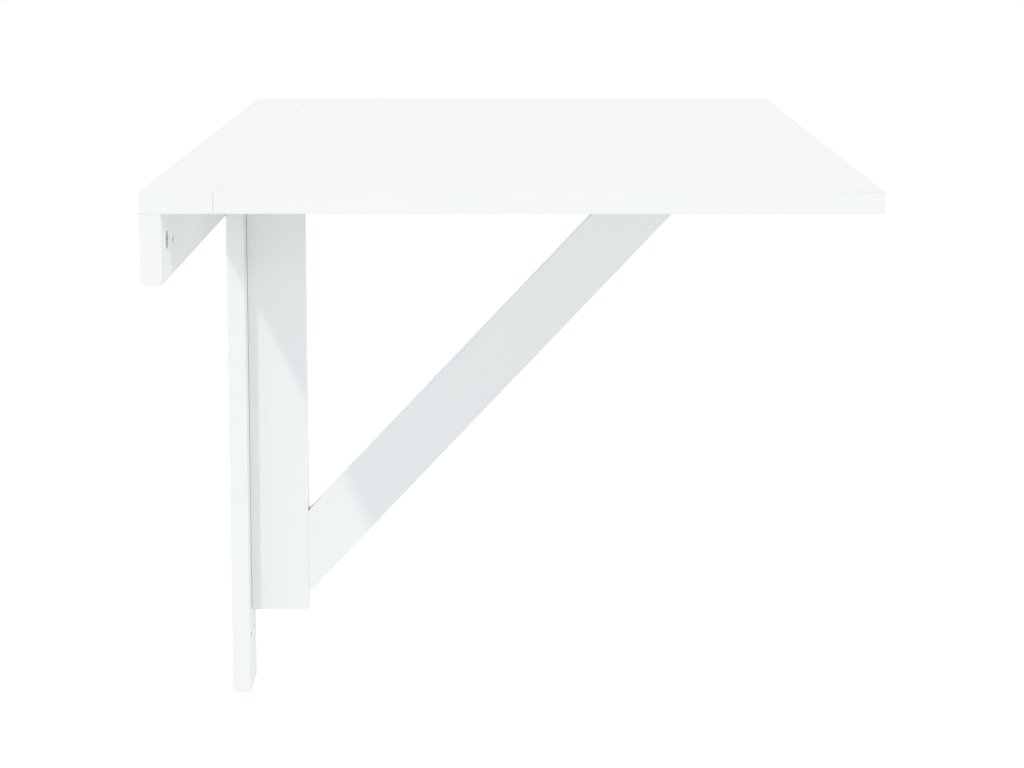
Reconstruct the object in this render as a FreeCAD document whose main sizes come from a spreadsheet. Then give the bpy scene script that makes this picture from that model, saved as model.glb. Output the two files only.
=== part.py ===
import FreeCAD, Part
import Sketcher
import os
import re

# Wall mounted drop leaf table, in millimetres.
# Origin: the centre of the wall rail's back face, on the wall.
# +X points out of the wall, +Y along the wall, +Z up.

SIZES = {
    # The top: a fixed shelf at the wall and the leaf hinged to it, with a narrow seam between.
    # The shelf is as deep as the folded bracket needs, so that the leaf can hang before it.
    "table_length": 1000.0,
    "table_depth": 600.0,
    "top_thick": 18.0,
    "fold_room": 0.6,
    "seam": 0.15,
    "band": 1.0,
    # The rail under the shelf, screwed to the wall.
    "rail_height": 58.3,
    "rail_thick": 18.0,
    "wall_hole_radius": 2.75,
    "wall_hole_offset": 37.0,
    # The board in front of the rail, which carries the swinging bracket.
    "board_width": 65.0,
    "board_thick": 18.0,
    "board_height": 543.0,
    "board_tail": 80.4,
    "foot_hole_rise": 57.0,
    "foot_hole_spread": 16.0,
    # The swinging bracket: post, arm and brace.
    "bracket_thick": 18.0,
    "post_gap": 0.2,
    "post_depth": 58.0,
    "arm_height": 50.0,
    "arm_inset": 85.0,
    "arm_drop": 6.0,
    "arm_overhang": 53.6,
    "brace_width": 57.8,
    "post_toe": 17.6,
    # The pad at the arm's tip, which the leaf lies on.
    "pad_length": 30.0,
    "pad_width": 16.0,
    "pad_inset": 7.0,
    "pad_round": 1.5,
    "pad_clearance": 0.3,
    "pad_screw_sink": 1.5,
    # Butt hinges, all of one pattern.
    "hinge_length": 50.0,
    "plate_width": 20.0,
    "plate_thick": 1.2,
    "knuckle_radius": 2.4,
    "knuckle_gap": 0.3,
    "pin_radius": 1.2,
    "pin_clearance": 0.05,
    "pin_head_radius": 1.9,
    "pin_head_height": 0.7,
    "plate_screw_reach": 12.0,
    "plate_screw_spread": 16.0,
    "leaf_hinge_inset": 100.0,
    "leaf_hinge_inner": 150.0,
    "swing_hinge_head": 110.0,
    "swing_hinge_foot": 62.0,
    # Countersunk screws: for the hinges, for the board and for the bracket's joints.
    "hinge_screw_radius": 1.5,
    "hinge_screw_head": 2.9,
    "hinge_screw_length": 14.0,
    "board_screw_radius": 2.0,
    "board_screw_head": 4.0,
    "board_screw_bite": 12.0,
    "board_screw_side": 20.0,
    "board_screw_rise": 15.0,
    "frame_screw_radius": 2.5,
    "frame_screw_head": 4.5,
    "frame_screw_length": 65.0,
    "post_bore": 25.0,
    "arm_bore": 15.0,
    "screw_clearance": 0.1,
    "slot_width": 0.8,
    "slot_depth": 1.0,
    # Cam locks in the rail pull their bolts down, which stand in the shelf's underside.
    "cam_radius": 7.5,
    "cam_depth": 12.5,
    "cam_recess": 0.8,
    "cam_drop": 25.0,
    "cam_inset": 35.0,
    "cam_middle": 155.0,
    "cam_clearance": 0.1,
    "cam_slot_length": 9.0,
    "cam_slot_width": 1.6,
    "cam_slot_depth": 2.5,
    "bolt_radius": 3.0,
    "bolt_bite": 11.0,
    "bolt_neck_radius": 1.8,
    "bolt_neck_length": 6.0,
    "bolt_head_radius": 3.3,
    "bolt_head_height": 3.0,
    "bolt_clearance": 0.3,
    # Dowels: large ones under the shelf, small ones in the bracket's joints.
    "dowel_radius": 4.0,
    "dowel_bite": 12.0,
    "dowel_tail": 18.0,
    "dowel_offset": 65.0,
    "dowel_clearance": 0.05,
    "pin_dowel_radius": 3.0,
    "pin_dowel_bite": 12.0,
    "arm_dowel_edge": 7.0,
    "brace_dowel_spread": 18.0,
}

# Knuckles along a hinge, of both its plates together.
KNUCKLES = 5

# Places and sizes that follow from the ones above.
DERIVED = {
    "half_length": "table_length / 2",
    "underside": "rail_height / 2",
    "board_face": "rail_thick + board_thick",
    "pin_offset": "knuckle_radius + knuckle_gap",
    "swing_x": "board_face + pin_offset",
    "swing_y": "bracket_thick / 2 + pin_offset",
    "shelf_depth": "swing_x + swing_y + bracket_thick / 2 + fold_room",
    "leaf_start": "shelf_depth + seam",
    "seam_middle": "shelf_depth + seam / 2",
    "leaf_hinge_outer": "half_length - leaf_hinge_inset",
    "post_back": "board_face + post_gap",
    "post_front": "post_back + post_depth",
    "board_foot": "underside - board_height",
    "post_foot": "board_foot + board_tail",
    "foot_hole": "board_foot + foot_hole_rise",
    "swing_hinge_top": "underside - swing_hinge_head",
    "swing_hinge_low": "post_foot + swing_hinge_foot",
    "arm_reach": "table_depth - arm_inset",
    "arm_top": "underside - arm_drop",
    "arm_low": "arm_top - arm_height",
    "arm_middle": "arm_top - arm_height / 2",
    "arm_dowel_spread": "arm_height / 2 - arm_dowel_edge",
    "brace_foot": "post_foot + post_toe",
    "brace_end": "arm_reach - arm_overhang",
    "brace_run": "brace_end - post_front",
    "brace_climb": "arm_low - brace_foot",
    "brace_long": "sqrt(brace_run ^ 2 + brace_climb ^ 2)",
    "post_joint": "brace_foot + brace_width * brace_long / brace_run / 2",
    "arm_joint": "brace_end - brace_width * brace_long / brace_climb / 2",
    "pad_height": "arm_drop - pad_clearance",
    "pad_middle": "arm_reach - pad_inset - pad_length / 2",
    "knuckle_pitch": f"hinge_length / {KNUCKLES}",
    "board_screw_length": "board_thick + board_screw_bite",
    "cam_outer": "half_length - cam_inset",
    "cam_seat": "rail_thick - cam_recess - cam_depth",
}

X_AXIS = FreeCAD.Vector(1, 0, 0)
Y_AXIS = FreeCAD.Vector(0, 1, 0)
Z_AXIS = FreeCAD.Vector(0, 0, 1)
UP = FreeCAD.Rotation()
DOWN = FreeCAD.Rotation(X_AXIS, 180)
OUTWARD = FreeCAD.Rotation(Y_AXIS, 90)
WALLWARD = FreeCAD.Rotation(Y_AXIS, -90)
ALONG = FreeCAD.Rotation(X_AXIS, -90)
BACK_ALONG = FreeCAD.Rotation(X_AXIS, 90)

doc = FreeCAD.newDocument("drop_leaf_table")
sheet = doc.addObject("Spreadsheet::Sheet", "Sizes")
for row, (alias, value) in enumerate(SIZES.items(), start=1):
    sheet.set(f"A{row}", alias)
    sheet.set(f"B{row}", str(value))
    sheet.setAlias(f"B{row}", alias)
doc.recompute()

pieces = {}


def formula(text):
    """Spell a formula out in the sheet's own cells."""
    def spell(match):
        word = match.group(0)
        if word in DERIVED:
            return "(" + formula(DERIVED[word]) + ")"
        return "Sizes." + word if word in SIZES else word
    return re.sub(r"[a-z_]+", spell, text)


def bind(item, **sizes):
    """Bind an object's own sizes to formulas."""
    for name, text in sizes.items():
        item.setExpression(name, formula(text))


def place(item, spot, turn=UP):
    """Turn an object and bind its place to three formulas."""
    item.Placement = FreeCAD.Placement(FreeCAD.Vector(), turn)
    for axis, text in zip("xyz", spot):
        item.setExpression(f"Placement.Base.{axis}", formula(text))
    return item


def add(kind, name):
    item = doc.addObject(kind, name)
    item.Label = name
    return item


def box(name, low, size, turn=UP):
    item = add("Part::Box", name)
    bind(item, Length=size[0], Width=size[1], Height=size[2])
    return place(item, low, turn)


def rod(name, radius, length, start=("0", "0", "0"), turn=UP):
    item = add("Part::Cylinder", name)
    bind(item, Radius=radius, Height=length)
    return place(item, start, turn)


def cone(name, wide, narrow, length, start=("0", "0", "0"), turn=UP):
    item = add("Part::Cone", name)
    bind(item, Radius1=wide, Radius2=narrow, Height=length)
    return place(item, start, turn)


def fuse(name, shapes):
    item = add("Part::MultiFuse", name)
    item.Shapes = shapes
    item.Refine = True
    return item


def cut(name, base, tools):
    tool = tools[0]
    if len(tools) > 1:
        tool = add("Part::Compound", name + "_tools")
        tool.Links = tools
    item = add("Part::Cut", name)
    item.Base = base
    item.Tool = tool
    return item


def copies(name, master, spots, turn=UP):
    """Links to one shape at each spot, in one compound."""
    links = []
    for number, spot in enumerate(spots, start=1):
        link = add("App::Link", f"{name}_{number}")
        link.LinkedObject = master
        links.append(place(link, spot, turn))
    group = add("Part::Compound", name)
    group.Links = links
    return group


def gather(name, shapes):
    group = add("Part::Compound", name)
    group.Links = shapes
    return group


def piece(item):
    """Keep an object as a sub-part, under its own label."""
    pieces[item.Label] = item
    return item


def mirrored(*names):
    """Each formula and its negative."""
    return [sign + "(" + name + ")" for name in names for sign in ("", "-")]


# ---- Fasteners, each drawn once along its own +Z with its head's face at the origin. A screw's
# ---- place is where its head's face lies, and its turn points it into the wood.

def screw(name, radius, head, length):
    """A countersunk screw with a cross slot, and the hole that it needs."""
    sink = f"{head} - {radius}"
    body = fuse(name + "_blank", [
        cone(name + "_head", head, radius, sink),
        rod(name + "_shank", radius, length),
    ])
    slots = [
        box(f"{name}_slot_{side}", (f"-{x} / 2", f"-{y} / 2", "0"), (x, y, "slot_depth"))
        for side, x, y in (("x", f"({head})", "slot_width"), ("y", "slot_width", f"({head})"))
    ]
    hole = fuse(name + "_hole", [
        cone(name + "_sink", f"{head} + screw_clearance", f"{radius} + screw_clearance", sink),
        rod(name + "_bore", f"{radius} + screw_clearance", f"{length} + screw_clearance"),
    ])
    return cut(name + "_pattern", body, slots), hole


hinge_screw, hinge_screw_hole = screw(
    "hinge_screw", "hinge_screw_radius", "hinge_screw_head", "hinge_screw_length")
board_screw, board_screw_hole = screw(
    "board_screw", "board_screw_radius", "board_screw_head", "board_screw_length")
frame_screw, frame_screw_hole = screw(
    "frame_screw", "frame_screw_radius", "frame_screw_head", "frame_screw_length")

shelf_dowel = rod("shelf_dowel", "dowel_radius", "dowel_bite + dowel_tail")
shelf_dowel_hole = rod(
    "shelf_dowel_hole", "dowel_radius + dowel_clearance",
    "dowel_bite + dowel_tail + 2 * screw_clearance")
joint_dowel = rod("joint_dowel", "pin_dowel_radius", "2 * pin_dowel_bite")
joint_dowel_hole = rod(
    "joint_dowel_hole", "pin_dowel_radius + dowel_clearance",
    "2 * (pin_dowel_bite + screw_clearance)")

wall_hole = rod("wall_hole", "wall_hole_radius", "board_face")

# ---- Cam lock and bolt. The cam's axis is its own +Z, with its slotted face at the top.

cam_bolt = fuse("cam_bolt", [
    rod("cam_bolt_thread", "bolt_radius", "bolt_bite + cam_drop - bolt_neck_length",
        ("0", "0", "bolt_neck_length")),
    rod("cam_bolt_neck", "bolt_neck_radius", "bolt_neck_length"),
    rod("cam_bolt_head", "bolt_head_radius", "bolt_head_height",
        ("0", "0", "-bolt_head_height / 2")),
])
cam_mouth = rod(
    "cam_mouth", "bolt_head_radius + bolt_clearance",
    "cam_radius + bolt_head_height",
    ("bolt_head_height / 2 + bolt_clearance", "0", "rail_thick / 2 - cam_seat"), WALLWARD)
cam_lock = cut("cam_lock", rod("cam_blank", "cam_radius", "cam_depth"), [
    cam_mouth,
    box("cam_slot_across", ("-cam_slot_length / 2", "-cam_slot_width / 2",
                            "cam_depth - cam_slot_depth"),
        ("cam_slot_length", "cam_slot_width", "cam_slot_depth")),
    box("cam_slot_along", ("-cam_slot_width / 2", "-cam_slot_length / 2",
                           "cam_depth - cam_slot_depth"),
        ("cam_slot_width", "cam_slot_length", "cam_slot_depth")),
])
cam_pocket = rod(
    "cam_pocket", "cam_radius + cam_clearance", "cam_depth + cam_recess + cam_clearance",
    ("0", "0", "-cam_clearance"))
bolt_bore = rod("bolt_bore", "bolt_head_radius + bolt_clearance", "cam_drop")
bolt_socket = rod("bolt_socket", "bolt_radius + screw_clearance", "bolt_bite + screw_clearance")

# ---- Hinge wings, drawn about the pin along +Z. Each plate runs along +X and lies against
# ---- the wood at +Y. The fixed wing has the even knuckles, the moving wing the odd ones.

def wing(name, knuckles):
    plate_low = "pin_offset - plate_thick"
    shapes = [box(name + "_plate", ("pin_offset", plate_low, "-hinge_length / 2"),
                  ("plate_width - pin_offset", "plate_thick", "hinge_length"))]
    for number in knuckles:
        start = f"({number} - {KNUCKLES} / 2) * knuckle_pitch + knuckle_gap / 2"
        long = "knuckle_pitch - knuckle_gap"
        shapes.append(box(f"{name}_neck_{number}", ("seam / 2", plate_low, start),
                          ("pin_offset - seam / 2", "plate_thick", long)))
        shapes.append(rod(f"{name}_knuckle_{number}", "knuckle_radius", long, ("0", "0", start)))
    bore = rod(name + "_bore", "pin_radius + pin_clearance", "hinge_length",
               ("0", "0", "-hinge_length / 2"))
    holes = copies(name + "_holes", hinge_screw_hole,
                   [("plate_screw_reach", plate_low, side)
                    for side in mirrored("plate_screw_spread")], ALONG)
    return cut(name, fuse(name + "_blank", shapes), [bore, holes])


fixed_wing = wing("fixed_wing", range(0, KNUCKLES, 2))
moving_wing = wing("moving_wing", range(1, KNUCKLES, 2))
hinge_pin = fuse("hinge_pin", [
    rod("hinge_pin_rod", "pin_radius", "hinge_length", ("0", "0", "-hinge_length / 2")),
    rod("hinge_pin_low", "pin_head_radius", "pin_head_height",
        ("0", "0", "-hinge_length / 2 - pin_head_height")),
    rod("hinge_pin_high", "pin_head_radius", "pin_head_height", ("0", "0", "hinge_length / 2")),
])
SHELF_WING = FreeCAD.Rotation(FreeCAD.Vector(0, 1, 1), 180)
LEAF_WING = BACK_ALONG
BOARD_WING = FreeCAD.Rotation(Z_AXIS, 90)
POST_WING = DOWN

# ---- Places that pieces share.

leaf_hinge_ys = mirrored("leaf_hinge_outer", "leaf_hinge_inner")
swing_hinge_zs = ["swing_hinge_top", "swing_hinge_low"]
leaf_hinge_spots = [("seam_middle", y, "underside - pin_offset") for y in leaf_hinge_ys]
swing_hinge_spots = [("swing_x", "swing_y", z) for z in swing_hinge_zs]


def leaf_hinge_screw_spots(side):
    return [(f"seam_middle {side} plate_screw_reach", f"{y} + {along}", "underside - plate_thick")
            for y in leaf_hinge_ys for along in mirrored("plate_screw_spread")]


shelf_screw_spots = leaf_hinge_screw_spots("-")
leaf_screw_spots = leaf_hinge_screw_spots("+")
swing_screw_zs = [f"{z} + {along}" for z in swing_hinge_zs
                  for along in mirrored("plate_screw_spread")]
board_plate_screw_spots = [("board_face + plate_thick", "swing_y + plate_screw_reach", z)
                           for z in swing_screw_zs]
post_screw_spots = [("swing_x + plate_screw_reach", "bracket_thick / 2 + plate_thick", z)
                    for z in swing_screw_zs]
board_screw_spots = [("board_face", y, z) for y in mirrored("board_screw_side")
                     for z in mirrored("board_screw_rise")]

cam_ys = mirrored("cam_outer", "cam_middle")
cam_spots = [("cam_seat", y, "underside - cam_drop") for y in cam_ys]
bolt_spots = [("rail_thick / 2", y, "underside - cam_drop") for y in cam_ys]
dowel_ys = mirrored("cam_outer - dowel_offset", "cam_middle + dowel_offset")
dowel_spots = [("rail_thick / 2", y, "underside - dowel_tail") for y in dowel_ys]
dowel_hole_spots = [(x, y, z + " - screw_clearance") for x, y, z in dowel_spots]

# ---- Top: the shelf at the wall and the leaf, each a faced core with banded edges.

shelf_core = box("shelf_core", ("0", "band - half_length", "underside"),
                 ("shelf_depth - band", "table_length - 2 * band", "top_thick"))
piece(cut("shelf_strip", shelf_core, [
    copies("shelf_bolt_sockets", bolt_socket, [(x, y, "underside") for x, y, z in bolt_spots]),
    copies("shelf_dowel_holes", shelf_dowel_hole, dowel_hole_spots),
    copies("shelf_screw_holes", hinge_screw_hole, shelf_screw_spots),
]))
piece(gather("shelf_edge_bands", [
    box("shelf_band_front", ("shelf_depth - band", "-half_length", "underside"),
        ("band", "table_length", "top_thick")),
    box("shelf_band_near", ("0", "-half_length", "underside"),
        ("shelf_depth - band", "band", "top_thick")),
    box("shelf_band_far", ("0", "half_length - band", "underside"),
        ("shelf_depth - band", "band", "top_thick")),
]))

leaf_width = "table_depth - leaf_start"
leaf_core = box("leaf_core", ("leaf_start + band", "band - half_length", "underside"),
                (leaf_width + " - 2 * band", "table_length - 2 * band", "top_thick"))
piece(cut("leaf_panel", leaf_core, [
    copies("leaf_screw_holes", hinge_screw_hole, leaf_screw_spots),
]))
piece(gather("leaf_edge_bands", [
    box("leaf_band_front", ("table_depth - band", "-half_length", "underside"),
        ("band", "table_length", "top_thick")),
    box("leaf_band_seam", ("leaf_start", "-half_length", "underside"),
        ("band", "table_length", "top_thick")),
    box("leaf_band_near", ("leaf_start + band", "-half_length", "underside"),
        (leaf_width + " - 2 * band", "band", "top_thick")),
    box("leaf_band_far", ("leaf_start + band", "half_length - band", "underside"),
        (leaf_width + " - 2 * band", "band", "top_thick")),
]))

# ---- Rail under the shelf, with its cam locks, bolts and dowels.

rail_core = box("rail_core", ("0", "band - half_length", "band - rail_height / 2"),
                ("rail_thick", "table_length - 2 * band", "rail_height - band"))
piece(cut("wall_rail", rail_core, [
    copies("rail_wall_holes", wall_hole,
           [("rail_thick", y, "0") for y in mirrored("cam_outer - wall_hole_offset",
                                                     "cam_middle - wall_hole_offset")],
           WALLWARD),
    copies("rail_cam_pockets", cam_pocket, cam_spots, OUTWARD),
    copies("rail_bolt_bores", bolt_bore, bolt_spots),
    copies("rail_dowel_holes", shelf_dowel_hole, dowel_hole_spots),
    copies("rail_screw_holes", board_screw_hole, board_screw_spots, WALLWARD),
]))
piece(gather("rail_edge_bands", [
    box("rail_band_low", ("0", "band - half_length", "-rail_height / 2"),
        ("rail_thick", "table_length - 2 * band", "band")),
    box("rail_band_near", ("0", "-half_length", "-rail_height / 2"),
        ("rail_thick", "band", "rail_height")),
    box("rail_band_far", ("0", "half_length - band", "-rail_height / 2"),
        ("rail_thick", "band", "rail_height")),
]))
piece(copies("cam_locks", cam_lock, cam_spots, OUTWARD))
piece(copies("cam_bolts", cam_bolt, bolt_spots))
piece(copies("shelf_dowels", shelf_dowel, dowel_spots))

# ---- Board in front of the rail, with its screws.

board_core = box("board_core", ("rail_thick", "band - board_width / 2", "board_foot + band"),
                 ("board_thick", "board_width - 2 * band", "board_height - band"))
piece(cut("wall_board", board_core, [
    copies("board_foot_holes", wall_hole,
           [("board_face", y, "foot_hole") for y in mirrored("foot_hole_spread")], WALLWARD),
    copies("board_screw_holes", board_screw_hole, board_screw_spots, WALLWARD),
    copies("board_plate_screw_holes", hinge_screw_hole, board_plate_screw_spots, WALLWARD),
]))
piece(gather("board_edge_bands", [
    box("board_band_low", ("rail_thick", "band - board_width / 2", "board_foot"),
        ("board_thick", "board_width - 2 * band", "band")),
    box("board_band_near", ("rail_thick", "-board_width / 2", "board_foot"),
        ("board_thick", "band", "board_height")),
    box("board_band_far", ("rail_thick", "board_width / 2 - band", "board_foot"),
        ("board_thick", "band", "board_height")),
]))
piece(copies("board_screws", board_screw, board_screw_spots, WALLWARD))

# ---- Leaf hinges, under the seam, and swing hinges, in the corner of board and post.

piece(copies("leaf_hinge_shelf_plates", fixed_wing, leaf_hinge_spots, SHELF_WING))
piece(copies("leaf_hinge_leaf_plates", moving_wing, leaf_hinge_spots, LEAF_WING))
piece(copies("leaf_hinge_pins", hinge_pin, leaf_hinge_spots, ALONG))
piece(copies("leaf_hinge_shelf_screws", hinge_screw, shelf_screw_spots))
piece(copies("leaf_hinge_leaf_screws", hinge_screw, leaf_screw_spots))
piece(copies("swing_hinge_board_plates", fixed_wing, swing_hinge_spots, BOARD_WING))
piece(copies("swing_hinge_post_plates", moving_wing, swing_hinge_spots, POST_WING))
piece(copies("swing_hinge_pins", hinge_pin, swing_hinge_spots))
piece(copies("swing_hinge_board_screws", hinge_screw, board_plate_screw_spots, WALLWARD))
piece(copies("swing_hinge_post_screws", hinge_screw, post_screw_spots, BACK_ALONG))

# ---- Bracket: post, arm and brace, doweled and screwed together.

post_arm_dowels = [("post_front - pin_dowel_bite", "0", f"arm_middle + {side}")
                   for side in mirrored("arm_dowel_spread")]
post_brace_dowels = [("post_front - pin_dowel_bite", "0", f"post_joint + {side}")
                     for side in mirrored("brace_dowel_spread")]
arm_brace_dowels = [(f"arm_joint + {side}", "0", "arm_low - pin_dowel_bite")
                    for side in mirrored("brace_dowel_spread")]
across_dowels = post_arm_dowels + post_brace_dowels
across_dowel_holes = [(x + " - screw_clearance", y, z) for x, y, z in across_dowels]
upright_dowel_holes = [(x, y, z + " - screw_clearance") for x, y, z in arm_brace_dowels]
across_screws = [("post_back + post_bore", "0", z) for z in ("arm_middle", "post_joint")]
down_screws = [("arm_joint", "0", "arm_top - arm_bore")]
pad_screw_spots = [("pad_middle", "0", "arm_top + pad_height - pad_screw_sink")]

across_joint_dowel_holes = copies("across_dowel_holes", joint_dowel_hole, across_dowel_holes,
                                  OUTWARD)
upright_joint_dowel_holes = copies("upright_dowel_holes", joint_dowel_hole,
                                   upright_dowel_holes)
across_screw_holes = copies("across_screw_holes", frame_screw_hole, across_screws, OUTWARD)
down_screw_holes = copies("down_screw_holes", frame_screw_hole, down_screws, DOWN)
pad_screw_holes = copies("pad_screw_holes", hinge_screw_hole, pad_screw_spots, DOWN)
head_bore_radius = "frame_screw_head + screw_clearance"

near_side = "-bracket_thick / 2"
post_tools = [
    across_joint_dowel_holes,
    across_screw_holes,
    gather("post_head_bores", [
        rod(f"post_head_bore_{z}", head_bore_radius, "post_bore", ("post_back", "0", z), OUTWARD)
        for z in ("arm_middle", "post_joint")]),
    copies("post_screw_holes", hinge_screw_hole, post_screw_spots, BACK_ALONG),
]
post_core = box("post_core", ("post_back + band", near_side, "post_foot + band"),
                ("post_depth - 2 * band", "bracket_thick", "arm_top - post_foot - band"))
piece(cut("bracket_post", post_core, post_tools))
post_bands = cut("post_bands", gather("post_band_strips", [
    box("post_band_back", ("post_back", near_side, "post_foot"),
        ("band", "bracket_thick", "arm_top - post_foot")),
    box("post_band_front", ("post_front - band", near_side, "post_foot"),
        ("band", "bracket_thick", "arm_top - post_foot")),
    box("post_band_foot", ("post_back + band", near_side, "post_foot"),
        ("post_depth - 2 * band", "bracket_thick", "band")),
]), post_tools)

arm_tools = [
    across_joint_dowel_holes,
    across_screw_holes,
    upright_joint_dowel_holes,
    down_screw_holes,
    rod("arm_head_bore", head_bore_radius, "arm_bore", ("arm_joint", "0", "arm_top"), DOWN),
    pad_screw_holes,
]
arm_core = box("arm_core", ("post_front", near_side, "arm_low + band"),
               ("arm_reach - post_front - band", "bracket_thick", "arm_height - 2 * band"))
piece(cut("bracket_arm", arm_core, arm_tools))
arm_bands = cut("arm_bands", gather("arm_band_strips", [
    box("arm_band_top", ("post_front", near_side, "arm_top - band"),
        ("arm_reach - post_front", "bracket_thick", "band")),
    box("arm_band_low", ("post_front", near_side, "arm_low"),
        ("arm_reach - post_front", "bracket_thick", "band")),
    box("arm_band_tip", ("arm_reach - band", near_side, "arm_low + band"),
        ("band", "bracket_thick", "arm_height - 2 * band")),
]), arm_tools)


def outline(body, name, plane_role, points):
    """A closed sketch of straight lines, drawn roughly on one of the body's own planes."""
    sketch = body.newObject("Sketcher::SketchObject", name)
    plane = next(item for item in body.Origin.OriginFeatures if item.Role == plane_role)
    sketch.AttachmentSupport = (plane, "")
    sketch.MapMode = "FlatFace"
    ends = [FreeCAD.Vector(x, y, 0) for x, y in points]
    for number, start in enumerate(ends):
        sketch.addGeometry(Part.LineSegment(start, ends[(number + 1) % len(ends)]))
    for number in range(len(ends)):
        sketch.addConstraint(Sketcher.Constraint(
            "Coincident", number, 2, (number + 1) % len(ends), 1))
    return sketch


def measure(sketch, name, text, kind, *ends):
    """Add a named dimension to a sketch, as drawn, which a formula then pulls to size."""
    span = sketch.getPoint(ends[2], ends[3]) - sketch.getPoint(ends[0], ends[1])
    as_drawn = span.x if kind == "DistanceX" else span.y
    index = sketch.addConstraint(Sketcher.Constraint(kind, *ends, as_drawn))
    sketch.renameConstraint(index, name)
    sketch.setExpression(f"Constraints.{name}", formula(text))


ROUGH = 100


def brace_strip(name, offset, width):
    """A slanting strip from the post's face to the arm's underside, offset from the lower edge."""
    body = add("PartDesign::Body", name)
    sketch = outline(body, name + "_outline", "XZ_Plane", [
        (ROUGH, -4 * ROUGH), (4 * ROUGH, -ROUGH), (3 * ROUGH, -ROUGH), (ROUGH, -3 * ROUGH)])
    low_edge, arm_end, high_edge, post_end = range(4)
    sketch.addConstraint(Sketcher.Constraint("Horizontal", arm_end))
    sketch.addConstraint(Sketcher.Constraint("Vertical", post_end))
    measure(sketch, "foot_x", "post_front", "DistanceX", -1, 1, low_edge, 1)
    measure(sketch, "head_z", "-arm_low", "DistanceY", low_edge, 2, -1, 1)
    edges = (
        ("low", low_edge, 1, 2, offset),
        ("high", high_edge, 2, 1, f"{offset} + {width}"),
    )
    for name, edge, foot_end, head_end, shift in edges:
        foot = f"brace_foot + ({shift}) * brace_long / brace_run"
        head = f"brace_end - ({shift}) * brace_long / brace_climb"
        measure(sketch, name + "_foot", f"-({foot})", "DistanceY", edge, foot_end, -1, 1)
        measure(sketch, name + "_head", head, "DistanceX", -1, 1, edge, head_end)
    thick = body.newObject("PartDesign::Pad", body.Label + "_pad")
    thick.Profile = sketch
    thick.SideType = "Symmetric"
    bind(thick, Length="bracket_thick")
    return body


brace_tools = [
    across_joint_dowel_holes,
    across_screw_holes,
    upright_joint_dowel_holes,
    down_screw_holes,
]
brace_core = brace_strip("brace_core", "band", "brace_width - 2 * band")
piece(cut("bracket_brace", brace_core, brace_tools))
brace_bands = cut("brace_bands", gather("brace_band_strips", [
    brace_strip("brace_band_low", "0", "band"),
    brace_strip("brace_band_high", "brace_width - band", "band"),
]), brace_tools)
piece(gather("bracket_edge_bands", [post_bands, arm_bands, brace_bands]))

piece(gather("bracket_dowels", [
    copies("across_dowels", joint_dowel, across_dowels, OUTWARD),
    copies("upright_dowels", joint_dowel, arm_brace_dowels),
]))
piece(gather("frame_screws", [
    copies("across_frame_screws", frame_screw, across_screws, OUTWARD),
    copies("down_frame_screws", frame_screw, down_screws, DOWN),
]))

# ---- Pad on the arm's tip, with its screw.

pad = add("PartDesign::Body", "pad_body")
place(pad, ("pad_middle", "0", "arm_top"))
pad_outline = outline(pad, "pad_outline", "XY_Plane", [
    (-ROUGH, -ROUGH), (ROUGH, -ROUGH), (ROUGH, ROUGH), (-ROUGH, ROUGH)])
for side in (0, 2):
    pad_outline.addConstraint(Sketcher.Constraint("Horizontal", side))
for side in (1, 3):
    pad_outline.addConstraint(Sketcher.Constraint("Vertical", side))
pad_outline.addConstraint(Sketcher.Constraint("Symmetric", 0, 1, 2, 1, -1, 1))
measure(pad_outline, "length", "pad_length", "DistanceX", 0, 1, 0, 2)
measure(pad_outline, "width", "pad_width", "DistanceY", 1, 1, 1, 2)
pad_block = pad.newObject("PartDesign::Pad", "pad_block")
pad_block.Profile = pad_outline
bind(pad_block, Length="pad_height")
doc.recompute()
top_face = max(range(len(pad_block.Shape.Faces)),
               key=lambda number: pad_block.Shape.Faces[number].CenterOfMass.z)
pad_rounds = pad.newObject("PartDesign::Fillet", "pad_rounds")
pad_rounds.Base = (pad_block, [f"Face{top_face + 1}"])
bind(pad_rounds, Radius="pad_round")
piece(cut("bearing_pad", pad, [
    pad_screw_holes,
    rod("pad_head_bore", "hinge_screw_head + screw_clearance", "pad_screw_sink",
        ("pad_middle", "0", "arm_top + pad_height"), DOWN),
]))
piece(copies("pad_screw", hinge_screw, pad_screw_spots, DOWN))

doc.recompute()
for item in doc.Objects:
    if {"Invalid", "Error"} & set(item.State):
        raise RuntimeError(f"{item.Label} failed: {item.State}")
for label, item in pieces.items():
    if item.Shape.isNull() or not item.Shape.isValid():
        raise RuntimeError(f"{label} has no valid shape")

os.makedirs("parts", exist_ok=True)
for label, item in pieces.items():
    item.Shape.exportStep(f"parts/{label}.step")
    print(f"{label}: {len(item.Shape.Solids)} solids, {item.Shape.Volume:.1f} mm3")
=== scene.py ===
import math

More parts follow.
